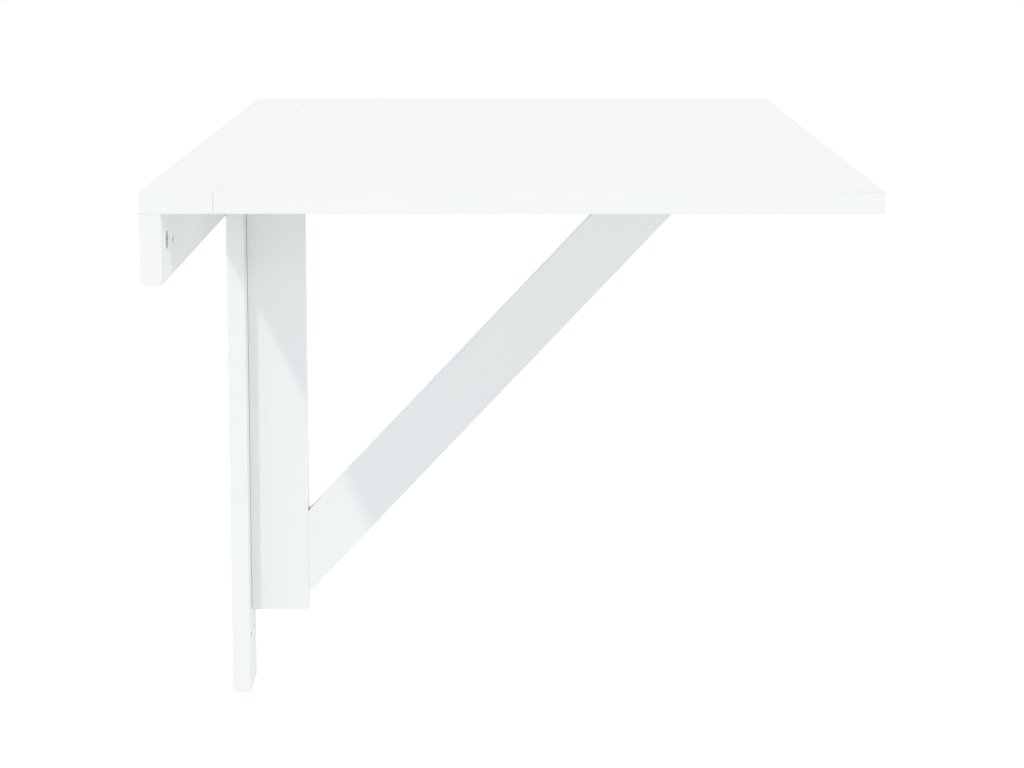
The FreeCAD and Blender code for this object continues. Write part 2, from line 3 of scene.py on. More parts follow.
import bmesh
import bpy
import numpy as np
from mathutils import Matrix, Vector


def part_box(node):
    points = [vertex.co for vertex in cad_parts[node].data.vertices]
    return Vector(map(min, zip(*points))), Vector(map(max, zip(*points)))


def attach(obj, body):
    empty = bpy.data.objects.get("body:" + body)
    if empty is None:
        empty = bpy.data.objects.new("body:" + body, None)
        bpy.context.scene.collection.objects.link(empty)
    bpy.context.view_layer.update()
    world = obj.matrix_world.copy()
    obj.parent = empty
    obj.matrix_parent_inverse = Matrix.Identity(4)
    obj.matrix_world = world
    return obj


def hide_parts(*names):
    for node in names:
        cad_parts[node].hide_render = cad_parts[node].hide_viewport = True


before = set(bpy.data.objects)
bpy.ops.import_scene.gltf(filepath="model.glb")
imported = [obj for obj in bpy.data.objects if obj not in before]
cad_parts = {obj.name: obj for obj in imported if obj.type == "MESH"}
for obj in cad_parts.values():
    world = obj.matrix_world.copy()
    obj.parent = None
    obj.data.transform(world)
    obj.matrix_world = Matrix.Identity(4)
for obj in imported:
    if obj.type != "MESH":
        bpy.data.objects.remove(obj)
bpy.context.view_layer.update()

# A wall mounted drop leaf table of white faced board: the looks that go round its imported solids.
# Lengths are in metres. +X points out of the wall, +Y along it and +Z up. Boards whose solids
# are right as they are get a finish only; edging, fittings and the pad are made here.

MM = 0.001

ALONG_X = np.array((1.0, 0.0, 0.0))
ALONG_Y = np.array((0.0, 1.0, 0.0))
ALONG_Z = np.array((0.0, 0.0, 1.0))

# ---- Sizes that the pieces share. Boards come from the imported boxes.

SHELF_LOW, SHELF_HIGH = map(np.array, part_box("shelf_edge_bands"))
LEAF_LOW, LEAF_HIGH = map(np.array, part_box("leaf_edge_bands"))
RAIL_LOW, RAIL_HIGH = map(np.array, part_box("rail_edge_bands"))
BOARD_LOW, BOARD_HIGH = map(np.array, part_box("board_edge_bands"))
POST_LOW, POST_HIGH = map(np.array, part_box("bracket_post"))
ARM_LOW, ARM_HIGH = map(np.array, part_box("bracket_arm"))

BAND = 1.0 * MM
PAPER = 0.04 * MM
UNDERSIDE = SHELF_LOW[2]
BOARD_FACE = BOARD_HIGH[0]
POST_FRONT = POST_HIGH[0] + BAND
ARM_TOP = ARM_HIGH[2] + BAND
ARM_UNDER = ARM_LOW[2] - BAND
ARM_MIDDLE = (ARM_TOP + ARM_UNDER) / 2
ARM_TIP = ARM_HIGH[0] + BAND
POST_FOOT = POST_LOW[2] - BAND
BRACKET_HALF = POST_HIGH[1]

BRACE_WIDTH = 57.8 * MM
BRACE_FOOT_RISE = 17.6 * MM
BRACE_TIP_SETBACK = 53.6 * MM
BRACE_START = np.array((POST_FRONT, 0, POST_FOOT + BRACE_FOOT_RISE))
BRACE_END = np.array((ARM_TIP - BRACE_TIP_SETBACK, 0, ARM_UNDER))
BRACE_LONG = np.linalg.norm(BRACE_END - BRACE_START)
BRACE_ALONG = (BRACE_END - BRACE_START) / BRACE_LONG
BRACE_UNDER = np.cross(BRACE_ALONG, ALONG_Y) * -1
POST_JOINT = BRACE_START[2] + BRACE_WIDTH / BRACE_ALONG[0] / 2
ARM_JOINT = BRACE_END[0] - BRACE_WIDTH / BRACE_ALONG[2] / 2

HINGE_LONG = 50 * MM
PLATE_WIDE = 20 * MM
PLATE_THICK = 1.2 * MM
KNUCKLES = 5
KNUCKLE = 2.4 * MM
KNUCKLE_GAP = 0.3 * MM
PIN = 1.2 * MM
PIN_CLEARANCE = 0.05 * MM
PIN_OFFSET = 2.7 * MM
PLATE_HOLE = 1.8 * MM
PLATE_HOLE_MOUTH = 3.0 * MM
PLATE_HOLE_REACH = 12 * MM
PLATE_HOLE_SPREAD = 16 * MM
SEAM = LEAF_LOW[0] - SHELF_HIGH[0]
SEAM_MIDDLE = SHELF_HIGH[0] + SEAM / 2

LEAF_HINGE_YS = [side * away * MM for away in (400, 150) for side in (1, -1)]
SWING_HINGE_DROP = 110 * MM
SWING_HINGE_RISE = 62 * MM
SWING_HINGE_ZS = [UNDERSIDE - SWING_HINGE_DROP, POST_FOOT + SWING_HINGE_RISE]
SWING_X = BOARD_FACE + PIN_OFFSET
SWING_Y = BRACKET_HALF + PIN_OFFSET
CAM_YS = [side * away * MM for away in (465, 155) for side in (1, -1)]
DOWEL_YS = [side * away * MM for away in (400, 220) for side in (1, -1)]
CAM_DROP = 25 * MM
CAM_SEAT = 4.7 * MM
SHELF_DOWEL_DROP = 18 * MM
BOARD_SCREW_REACH = 20 * MM
BOARD_SCREW_RISE = 15 * MM
RAIL_THICK = RAIL_HIGH[0] - RAIL_LOW[0]


# ---- Shells: a closed surface as points, faces and one smooth mark a face.

def shell(points, faces, flat):
    """Weld what meets, turn every face outwards and keep the flat marks."""
    mesh = bpy.data.meshes.new("shell")
    mesh.from_pydata(np.asarray(points).tolist(), [], faces)
    mesh.polygons.foreach_set("use_smooth", ~np.array(flat, bool))
    work = bmesh.new()
    work.from_mesh(mesh)
    bmesh.ops.remove_doubles(work, verts=work.verts, dist=1e-6)
    bmesh.ops.dissolve_degenerate(work, edges=work.edges, dist=1e-7)
    bmesh.ops.recalc_face_normals(work, faces=work.faces)
    work.to_mesh(mesh)
    work.free()
    clean = np.empty(len(mesh.vertices) * 3)
    mesh.vertices.foreach_get("co", clean)
    faces = [list(face.vertices) for face in mesh.polygons]
    smooth = [face.use_smooth for face in mesh.polygons]
    bpy.data.meshes.remove(mesh)
    return clean.reshape(-1, 3), faces, smooth


def loft(sections, flat_gaps=None, flat_sides=None, closed=False):
    """Closed sections joined in order by quads.

    The two ends get a face each, or, where closed is set, the last section meets the first.
    """
    sections = np.asarray(sections)
    rows, count = sections.shape[:2]
    gaps = rows if closed else rows - 1
    row, side = np.meshgrid(np.arange(gaps), np.arange(count), indexing="ij")
    beside = (side + 1) % count
    beyond = (row + 1) % rows
    quads = np.stack([row * count + side, row * count + beside,
                      beyond * count + beside, beyond * count + side], axis=-1)
    flat_gaps = np.zeros(gaps) if flat_gaps is None else np.asarray(flat_gaps)
    flat_sides = np.zeros(count) if flat_sides is None else np.asarray(flat_sides)
    flat = np.outer(flat_gaps, flat_sides).ravel().tolist()
    faces = quads.reshape(-1, 4).tolist()
    if not closed:
        faces.append(list(range(count)))
        faces.append(list(range((rows - 1) * count, rows * count)))
        flat += [1, 1]
    return shell(sections.reshape(-1, 3), faces, flat)


def join(shells):
    """Several shells as one."""
    points, faces, smooth, start = [], [], [], 0
    for part_points, part_faces, part_smooth in shells:
        points.append(part_points)
        faces += [[start + corner for corner in face] for face in part_faces]
        smooth += part_smooth
        start += len(part_points)
    return np.concatenate(points), faces, smooth


def copies(pattern, places):
    """The same shell at each place, which is a spot and the directions of its own X and Y."""
    points, faces, smooth = pattern
    placed = []
    for spot, own_x, own_y in places:
        axes = np.array([own_x, own_y, np.cross(own_x, own_y)], float)
        placed.append((points @ axes + np.array(spot, float), faces, smooth))
    return join(placed)


def pointing(spot, direction):
    """A place whose own Z runs in a direction."""
    direction = np.array(direction, float)
    own_x = np.roll(direction, 1)
    return spot, own_x, np.cross(direction, own_x)


# ---- Surfaces of revolution and slotted heads.

def turned(radii, heights, sides=32, ripple=None):
    """A surface turned about its own Z: each row is a circle of its radius at its height.

    A ripple is a function of angle and height that gives a share of the radius.
    """
    angle = np.linspace(0, 2 * math.pi, sides, endpoint=False)[None, :]
    radius = np.array(radii)[:, None] * np.ones_like(angle)
    height = np.array(heights)[:, None] * np.ones_like(angle)
    if ripple:
        radius = radius * ripple(angle, height)
    rows = np.stack([radius * np.cos(angle), radius * np.sin(angle), height], axis=-1)
    return loft(rows)


def thread(core, crest, pitch, start, end):
    """Radius of a screw thread: a ridge whose phase is height / pitch - angle / a full turn.

    The ridge is a triangle about half a pitch wide, and it fades over one pitch at both ends.
    """
    def radius(angle, height):
        phase = (height / pitch - angle / (2 * math.pi)) % 1
        ridge = np.clip(1 - np.abs(phase - 0.5) * 4, 0, 1)
        fade = np.clip((height - start) / pitch, 0, 1) * np.clip((end - height) / pitch, 0, 1)
        return core + (crest - core) * ridge * fade
    return radius


def slotted(lines, slot_half, slot_arm, depth, radii, heights, thread_radius=None):
    """A round body whose flat end has a cross slot.

    The end is a square grid on the given lines, mirrored: its height is the slot's depth where
    a point lies in either arm of the cross, and 0 elsewhere, so the walls lean between two
    lines. The grid's border then runs out to the circle of the first row, in the same
    directions, and the further rows are circles, or follow a thread, down to a point.
    """
    full = np.concatenate([-np.array(lines[:0:-1]), lines])
    count = len(full)
    grid_x, grid_y = np.meshgrid(full, full, indexing="ij")
    edge = 1e-9
    in_x = (np.abs(grid_x) <= slot_half + edge) & (np.abs(grid_y) <= slot_arm + edge)
    in_y = (np.abs(grid_y) <= slot_half + edge) & (np.abs(grid_x) <= slot_arm + edge)
    grid = np.stack([grid_x, grid_y, heights[0] + depth * (in_x | in_y)], axis=-1)
    index = np.arange(count * count).reshape(count, count)
    cells = np.stack([index[:-1, :-1], index[1:, :-1], index[1:, 1:], index[:-1, 1:]], axis=-1)
    border = np.concatenate([index[:-1, 0], index[-1, :-1], index[:0:-1, -1], index[0, :0:-1]])
    around = grid.reshape(-1, 3)[border]
    angle = np.arctan2(around[:, 1], around[:, 0])[None, :]
    radius = np.array(radii)[:, None] * np.ones_like(angle)
    height = np.array(heights)[:, None] * np.ones_like(angle)
    if thread_radius:
        radius = np.minimum(radius, thread_radius(angle, height))
    rows = np.stack([radius * np.cos(angle), radius * np.sin(angle), height], axis=-1)
    points = np.concatenate([grid.reshape(-1, 3), rows.reshape(-1, 3)])
    rings = np.concatenate([border[None, :],
                            count * count + np.arange(rows.shape[0] * len(border)).reshape(
                                rows.shape[0], -1)])
    after = np.roll(rings, -1, axis=1)
    quads = np.stack([rings[:-1], after[:-1], after[1:], rings[1:]], axis=-1)
    faces = cells.reshape(-1, 4).tolist() + quads.reshape(-1, 4).tolist()
    flat = [1] * cells.shape[0] * cells.shape[1] + [1] * len(border) + [0] * (
        len(border) * (len(rings) - 2))
    faces.append(rings[-1].tolist())
    flat.append(1)
    return shell(points, faces, flat)


# ---- Edging: one millimetre of plastic on each sawn edge that shows.

ROUND_STEPS = 5
EDGE_ROUND = 0.45 * MM
SEAM_ROUND = 0.05 * MM


def edging_strip(start, end, out, width, rounded=(True, True), slants=(0, 0),
                 soft=EDGE_ROUND):
    """A strip of edging on a board's edge.

    Its section is a rectangle, as thick as the band and as wide as the board, whose two outer
    corners are quarter circles. It runs straight from start to end. At a rounded end its outer,
    upper and lower sides draw in by soft * (1 - sin a) while it moves on by soft * (1 - cos a),
    for a from 0 to a quarter turn. At a slanted end each point moves on by slant times its
    distance out from the core.
    """
    start, end, out = (np.array(v, float) for v in (start, end, out))
    length = np.linalg.norm(end - start)
    along = (end - start) / length
    across = np.cross(along, out)
    turn = np.linspace(0, math.pi / 2, ROUND_STEPS + 1)
    travel = soft * (1 - np.cos(turn))
    draw_in = soft * (1 - np.sin(turn))
    flat_end = np.zeros(1)
    head = (travel, draw_in) if rounded[0] else (flat_end, flat_end)
    tail = (travel[::-1], draw_in[::-1]) if rounded[1] else (flat_end, flat_end)
    places = np.concatenate([head[0], length - tail[0]])
    insets = np.concatenate([head[1], tail[1]])
    slant = np.concatenate([np.full(len(head[0]), slants[0]), np.full(len(tail[0]), slants[1])])
    sections = []
    for place, inset, lean in zip(places, insets, slant):
        radius = soft - inset
        high = width / 2 - inset
        arc = np.stack([BAND - soft + radius * np.sin(turn), high - radius * (1 - np.cos(turn))],
                       axis=1)
        low_arc = arc * (1, -1)
        outline = np.concatenate([[[0, -high]], low_arc, arc[::-1], [[0, high]]])
        away, side = outline[:, :1], outline[:, 1:]
        sections.append(start + along * (place + lean * away) + away * out + side * across)
    gaps = np.zeros(len(places) - 1)
    gaps[len(head[0]) - 1] = 1
    arc_sides = [0] * ROUND_STEPS
    return loft(sections, gaps, [1, *arc_sides, 1, *arc_sides, 1, 1])


def panel_edging(low, high, back):
    """The strips of a lying panel: its front, its two ends, and its back where the wall is not."""
    middle = (low[2] + high[2]) / 2
    width = high[2] - low[2]
    inner = low[0] + BAND if back else low[0]
    strips = [edging_strip((high[0] - BAND, low[1], middle), (high[0] - BAND, high[1], middle),
                           ALONG_X, width, soft=EDGE_ROUND if back else SEAM_ROUND)]
    if back:
        strips.append(edging_strip((inner, low[1], middle), (inner, high[1], middle),
                                   -ALONG_X, width, soft=SEAM_ROUND))
    for y, out in ((low[1] + BAND, -ALONG_Y), (high[1] - BAND, ALONG_Y)):
        strips.append(edging_strip((inner, y, middle), (high[0] - BAND, y, middle), out, width,
                                   (False, False)))
    return join(strips)


def hanging_edging(low, high):
    """The strips of an upright board: its two sides down to the foot, and the foot between."""
    x = (low[0] + high[0]) / 2
    width = high[0] - low[0]
    strips = []
    for y, out in ((low[1] + BAND, -ALONG_Y), (high[1] - BAND, ALONG_Y)):
        strips.append(edging_strip((x, y, low[2]), (x, y, high[2]), out, width, (True, False)))
    strips.append(edging_strip((x, low[1] + BAND, low[2] + BAND), (x, high[1] - BAND, low[2] + BAND),
                               -ALONG_Z, width, (False, False)))
    return join(strips)


# The bracket's joints: dowels and long screws, each at a spot and pointing one way. The long
# screws' heads lie sunk by the head depths, and the pad screw's head stands above the arm.

DOWEL_BITE = 12 * MM
DOWEL_SPREAD = 18 * MM
POST_HEAD_DEPTH = 25 * MM
ARM_HEAD_DEPTH = 15 * MM
PAD_SETBACK = 22 * MM
PAD_HEAD_RISE = 4.2 * MM
across_dowels = [pointing((POST_FRONT - DOWEL_BITE, 0, joint + side * DOWEL_SPREAD), ALONG_X)
                 for joint in (ARM_MIDDLE, POST_JOINT) for side in (1, -1)]
upright_dowels = [pointing((ARM_JOINT + side * DOWEL_SPREAD, 0, ARM_UNDER - DOWEL_BITE), ALONG_Z)
                  for side in (1, -1)]
across_screws = [pointing((POST_LOW[0] - BAND + POST_HEAD_DEPTH, 0, joint), ALONG_X)
                 for joint in (ARM_MIDDLE, POST_JOINT)]
down_screw = pointing((ARM_JOINT, 0, ARM_TOP - ARM_HEAD_DEPTH), -ALONG_Z)
PAD_MIDDLE = ARM_TIP - PAD_SETBACK
pad_screw_spot = pointing((PAD_MIDDLE, 0, ARM_TOP + PAD_HEAD_RISE), -ALONG_Z)

# Bores for the drill: radius, start and end, in millimetres along the fitting's own Z.

DOWEL_BORE = (3.05, -0.1, 24.1)
SCREW_BORE = (2.6, 1, 66)
HEAD_BORE = (4.6, -27, 0)
PAD_SCREW_BORE = (1.6, 0, 14)


def bore(radius, low, high):
    """A round bore for the drill, closed at both ends."""
    return turned(np.array([0, radius, radius, 0]) * MM, np.array([low, low, high, high]) * MM, 40)


def drilled(strip, bores):
    """A shell less the closed shells of its bores, which don't touch one another."""
    meshes = []
    for points, faces, smooth in (strip, bores):
        mesh = bpy.data.meshes.new("drilled")
        mesh.from_pydata(points.tolist(), [], faces)
        mesh.polygons.foreach_set("use_smooth", smooth)
        meshes.append(mesh)
    work, drill = (bpy.data.objects.new("drilled", mesh) for mesh in meshes)
    for tool in (work, drill):
        bpy.context.scene.collection.objects.link(tool)
    boolean = work.modifiers.new("drill", "BOOLEAN")
    boolean.operation = "DIFFERENCE"
    boolean.object = drill
    cut = bpy.data.meshes.new_from_object(
        work.evaluated_get(bpy.context.evaluated_depsgraph_get()))
    points = np.empty(len(cut.vertices) * 3)
    cut.vertices.foreach_get("co", points)
    faces = [list(face.vertices) for face in cut.polygons]
    smooth = [face.use_smooth for face in cut.polygons]
    for tool in (work, drill):
        bpy.data.objects.remove(tool)
    for mesh in (*meshes, cut):
        bpy.data.meshes.remove(mesh)
    return points.reshape(-1, 3), faces, smooth


def bracket_edging():
    """The strips of post, arm and brace; the brace's end on the post's face and arm's underside."""
    wide = 2 * BRACKET_HALF
    dowel_bore, screw_bore, head_bore = bore(*DOWEL_BORE), bore(*SCREW_BORE), bore(*HEAD_BORE)
    post_back = edging_strip((POST_LOW[0], 0, POST_FOOT), (POST_LOW[0], 0, ARM_TOP), -ALONG_X,
                             wide, (True, False))
    post_front = edging_strip((POST_HIGH[0], 0, POST_FOOT), (POST_HIGH[0], 0, ARM_TOP), ALONG_X,
                              wide, (True, False))
    arm_low = edging_strip((POST_FRONT, 0, ARM_LOW[2]), (ARM_TIP, 0, ARM_LOW[2]), -ALONG_Z, wide,
                           (False, True))
    arm_high = edging_strip((POST_FRONT, 0, ARM_HIGH[2]), (ARM_TIP, 0, ARM_HIGH[2]), ALONG_Z,
                            wide, (False, True))
    strips = [
        drilled(post_back, copies(head_bore, across_screws)),
        drilled(post_front, join([copies(dowel_bore, across_dowels),
                                  copies(screw_bore, across_screws)])),
        drilled(arm_low, join([copies(dowel_bore, upright_dowels),
                               copies(screw_bore, [down_screw])])),
        drilled(arm_high, join([copies(head_bore, [down_screw]),
                                copies(bore(*PAD_SCREW_BORE), [pad_screw_spot])])),
    ]
    strips.append(edging_strip((POST_LOW[0], 0, POST_LOW[2]), (POST_HIGH[0], 0, POST_LOW[2]),
                               -ALONG_Z, wide, (False, False)))
    strips.append(edging_strip((ARM_HIGH[0], 0, ARM_LOW[2]), (ARM_HIGH[0], 0, ARM_HIGH[2]),
                               ALONG_X, wide, (False, False)))
    for offset, out in ((BAND, BRACE_UNDER), (BRACE_WIDTH - BAND, -BRACE_UNDER)):
        start = BRACE_START + ALONG_Z * offset / BRACE_ALONG[0]
        end = BRACE_END - ALONG_X * offset / BRACE_ALONG[2]
        slants = (-out[0] / BRACE_ALONG[0], -out[2] / BRACE_ALONG[2])
        strips.append(edging_strip(start, end, out, wide, (False, False), slants))
    return join(strips)


# ---- Fittings, each drawn once about its own Z.

def wood_screw(radius, head, length, pitch, plain):
    """A countersunk screw, its head's face at 0: slot, cone, plain shank, thread and point."""
    sink = head - radius
    core = radius * 0.7
    rim, slot_half, slot_depth = 0.12 * MM, 0.3 * MM, 1.0 * MM
    lines = np.array([0, slot_half, 0.4 * MM, head * 0.31, head * 0.4, head * 0.5, head * 0.54,
                      head * 0.62])
    step = pitch / 5
    tip = length - 2.2 * radius
    shank = np.arange(sink + plain, tip, step)
    ends = tip + (length - tip) * np.array([0.25, 0.5, 0.75, 0.93, 1.0])
    radii = np.concatenate([[head - rim, head, radius, radius], np.full(len(shank), radius),
                            radius * np.array([0.72, 0.55, 0.33, 0.12, 0.02])])
    heights = np.concatenate([[0, rim, sink, sink + plain * 0.98], shank, ends])
    ridge = thread(core, radius, pitch, sink + plain, length - radius)

    def limit(angle, height):
        return np.where(height < sink + plain, head, ridge(angle, height))

    return slotted(lines, slot_half, head * 0.5, slot_depth, radii, heights, limit)


hinge_screw = wood_screw(1.5 * MM, 2.9 * MM, 14 * MM, 1.3 * MM, 0.5 * MM)
board_screw = wood_screw(2.0 * MM, 4.0 * MM, 30 * MM, 1.8 * MM, 10 * MM)
frame_screw = wood_screw(2.5 * MM, 4.5 * MM, 65 * MM, 2.4 * MM, 26 * MM)


FLUTE_DEPTH = 0.06


def dowel(radius, length, flutes=14):
    """A fluted dowel: each flute is FLUTE_DEPTH of the radius deep, and the ends are chamfered."""
    chamfer = 1.2 * MM
    radii = [0, radius - chamfer, radius, radius, radius - chamfer, 0]
    heights = [0, 0, chamfer, length - chamfer, length, length]

    def ripple(angle, height):
        return 1 - FLUTE_DEPTH * np.clip(np.cos(flutes * angle), 0, 1)

    return turned(radii, heights, flutes * 6, ripple)


shelf_dowel = dowel(4 * MM, 30 * MM)
joint_dowel = dowel(3 * MM, 24 * MM)


def cam_bolt():
    """A cam's bolt: a round head, a thin neck, a plain shank and a coarse thread.

    The thread is a share of the shank's radius, which is 1 down to where the thread starts.
    """
    thread_start, end, core, pitch = 25, 36, 0.82, 2.0
    rows = np.arange(thread_start, end - 0.4, 0.3)
    radii = [0, 2.9, 3.3, 3.3, 2.9, 1.8, 1.8, 2.6, 3.0, 3.0, *[3.0] * len(rows), 2.2, 0]
    heights = [-1.5, -1.5, -1.1, 1.1, 1.5, 1.7, 5.8, 6.0, 6.5, 24.9, *rows, end, end]
    ridge = thread(core, 1.0, pitch * MM, thread_start * MM, end * MM)

    def ripple(angle, height):
        return np.where(height > (thread_start - 0.05) * MM, ridge(angle, height), 1)

    return turned(np.array(radii) * MM, np.array(heights) * MM, 32, ripple)


def hinge_pin():
    """A pin as long as its hinge, with a low dome on each end."""
    radii = np.array([PIN / MM, 1.9, 1.9, 1.5, 0.9, 0]) * MM
    heights = HINGE_LONG / 2 + np.array([0, 0, 0.2, 0.5, 0.66, 0.7]) * MM
    return turned([*radii[::-1], *radii], [*-heights[::-1], *heights], 32)


def cam_lock():
    """A die-cast cam: a slotted face, a wall open towards its bolt, and a thin back.

    The wall's section is a rectangle carried round an arc that leaves the opening free at the
    top, and an arrow on the face points to it.
    """
    slot_half, slot_arm, slot_depth = 0.65 * MM, 4.35 * MM, -2.4 * MM
    lines = np.array([0, 0.65, 0.8, 1.3, 1.9, 2.6, 3.4, 4.35, 4.5, 5.1]) * MM
    face = slotted(lines, slot_half, slot_arm, slot_depth,
                   np.array([7.15, 7.5, 7.5, 7.15, 0.02]) * MM,
                   np.array([12.5, 12.15, 8.6, 8.3, 8.3]) * MM)
    back = turned(np.array([0, 7.2, 7.5, 7.5, 0]) * MM, np.array([0, 0, 0.2, 0.8, 0.8]) * MM, 64)
    opening = 76
    arc = np.radians(np.linspace(90 + opening / 2, 450 - opening / 2, 60))[:, None]
    radius = np.array([5.6, 7.5, 7.5, 5.6]) * MM
    height = np.array([0.8, 0.8, 8.3, 8.3]) * MM
    sections = np.stack([radius * np.cos(arc), radius * np.sin(arc), height * np.ones_like(arc)],
                        axis=-1)
    wall = loft(sections)
    corners = np.array([(-0.75, 5.35), (0.75, 5.35), (0, 6.6)]) * MM
    arrow = loft([[(x, y, z * MM) for x, y in corners] for z in (12.4, 12.75)], [1], [1, 1, 1])
    return join([face, back, wall, arrow])


def plate_half(outer_end, hole_z):
    """Half of a hinge plate, between its middle and one end, with a countersunk hole.

    Each ring has the same directions as seen from the hole: the hole's edge on the wood's side,
    the outline there, the outline on the open side and the countersink's mouth.
    """
    near, far = PIN_OFFSET, PLATE_WIDE
    count = 12
    side = np.linspace(0, 1, count, endpoint=False)
    corners = np.array([(near, 0), (far, 0), (far, outer_end), (near, outer_end)])
    following = np.roll(corners, -1, axis=0)
    outline = (corners[:, None] + (following - corners)[:, None] * side[:, None]).reshape(-1, 2)
    centre = np.array((PLATE_HOLE_REACH, hole_z))
    toward = outline - centre
    toward = toward / np.linalg.norm(toward, axis=1)[:, None]
    wood, open_side = PIN_OFFSET, PIN_OFFSET - PLATE_THICK
    rings = []
    for flat_ring, depth in ((centre + toward * PLATE_HOLE, wood), (outline, wood),
                             (outline, open_side), (centre + toward * PLATE_HOLE_MOUTH, open_side)):
        rings.append(np.stack([flat_ring[:, 0], np.full(4 * count, depth), flat_ring[:, 1]],
                              axis=1))
    rows = np.array(rings)
    total = 4 * count
    faces, flat = [], []
    for row in range(4):
        for column in range(total):
            on_middle = row == 1 and column < count
            if not on_middle:
                beside, beyond = (column + 1) % total, (row + 1) % 4
                faces.append([row * total + column, row * total + beside,
                              beyond * total + beside, beyond * total + column])
                flat.append(row != 3)
    return rows.reshape(-1, 3), faces, flat


def hinge_wing(knuckles):
    """A butt hinge's wing: a plate with two countersunk holes, and its rolled knuckles.

    A knuckle is a ribbon between two curves, carried along the pin. The outer curve leaves the
    plate's back and runs round the pin at the knuckle's radius; the inner one leaves the plate's
    face and runs round it just clear of the pin.
    """
    upper = plate_half(HINGE_LONG / 2, PLATE_HOLE_SPREAD)
    lower = plate_half(-HINGE_LONG / 2, -PLATE_HOLE_SPREAD)
    shift = len(upper[0])
    plate = shell(np.concatenate([upper[0], lower[0]]),
                  upper[1] + [[shift + corner for corner in face] for face in lower[1]],
                  upper[2] + lower[2])
    turn = np.radians(np.arange(80, 376, 14.75))
    inner_radius = PIN + PIN_CLEARANCE
    outer = [(PIN_OFFSET, PIN_OFFSET), (1.6 * MM, PIN_OFFSET), (0.9 * MM, 2.6 * MM)]
    inner = [(PIN_OFFSET, 1.5 * MM), (1.9 * MM, 1.5 * MM), (0.9 * MM, 1.43 * MM)]
    outer += [(KNUCKLE * math.cos(a), KNUCKLE * math.sin(a)) for a in turn]
    inner += [(inner_radius * math.cos(a), inner_radius * math.sin(a)) for a in turn]
    outer, inner = np.array(outer), np.array(inner)
    pitch = HINGE_LONG / KNUCKLES
    parts = [plate]
    for knuckle in knuckles:
        low = (knuckle - KNUCKLES / 2) * pitch + KNUCKLE_GAP / 2
        high = low + pitch - KNUCKLE_GAP
        ribbon = [[(*a, low), (*a, high), (*b, high), (*b, low)] for a, b in zip(outer, inner)]
        parts.append(loft(ribbon))
    return join(parts)


def bearing_pad():
    """A moulded pad: rings of one rounded oblong from its foot to its rounded top, and then
    circles down its screw's hole.
    """
    half_long, half_wide, high, corner = 15 * MM, 8 * MM, 5.7 * MM, 2.5 * MM
    soft, foot_round, mouth = 1.5 * MM, 0.25 * MM, 0.3 * MM
    head_bore, head_depth = 3.0 * MM, 1.5 * MM
    shank_bore, shank_depth = 1.6 * MM, 2.9 * MM
    count = 12
    quarter = np.linspace(0, math.pi / 2, count)
    turn = np.concatenate([quarter + start for start in np.arange(4) * math.pi / 2])
    centre_x = np.repeat([1, -1, -1, 1], count) * (half_long - corner)
    centre_y = np.repeat([1, 1, -1, -1], count) * (half_wide - corner)

    def ring(inset, height):
        radius = corner - inset
        return np.stack([centre_x + radius * np.cos(turn), centre_y + radius * np.sin(turn),
                         np.full(len(turn), height)], axis=1)

    around = ring(0, 0)
    direction = np.arctan2(around[:, 1], around[:, 0])

    def hole(radius, height):
        return np.stack([radius * np.cos(direction), radius * np.sin(direction),
                         np.full(len(direction), height)], axis=1)

    bend = np.linspace(0, math.pi / 2, 6)
    rows = [ring(foot_round, 0), ring(0, foot_round)]
    rows += [ring(soft * (1 - math.cos(a)), high - soft * (1 - math.sin(a))) for a in bend]
    rows += [hole(head_bore + mouth, high), hole(head_bore, high - mouth),
             hole(head_bore, high - head_depth), hole(shank_bore, high - shank_depth),
             hole(shank_bore, 0)]
    return loft(rows, closed=True)


# ---- Materials.

def linear(code):
    """A hex colour as the linear red, green, blue and alpha that a shader takes."""
    parts = [int(code[i:i + 2], 16) / 255 for i in (1, 3, 5)]
    return tuple(c / 12.92 if c <= 0.04045 else ((c + 0.055) / 1.055) ** 2.4 for c in parts) + (1,)


def node(tree, kind, inputs=None, **settings):
    """Add a node: settings are its own properties, and inputs are values or sockets to link."""
    made = tree.nodes.new("ShaderNode" + kind)
    for name, value in settings.items():
        setattr(made, name, value)
    for name, value in (inputs or {}).items():
        if isinstance(value, bpy.types.NodeSocket):
            tree.links.new(value, made.inputs[name])
        else:
            made.inputs[name].default_value = value
    return made


def per(size):
    """The texture scale that gives one feature in each such size."""
    return 1 / size


def start_material(name):
    """An empty material with the place on the object, in metres."""
    material = bpy.data.materials.new(name)
    material.use_nodes = True
    tree = material.node_tree
    tree.nodes.clear()
    place = node(tree, "TexCoord").outputs["Object"]
    return material, tree, place


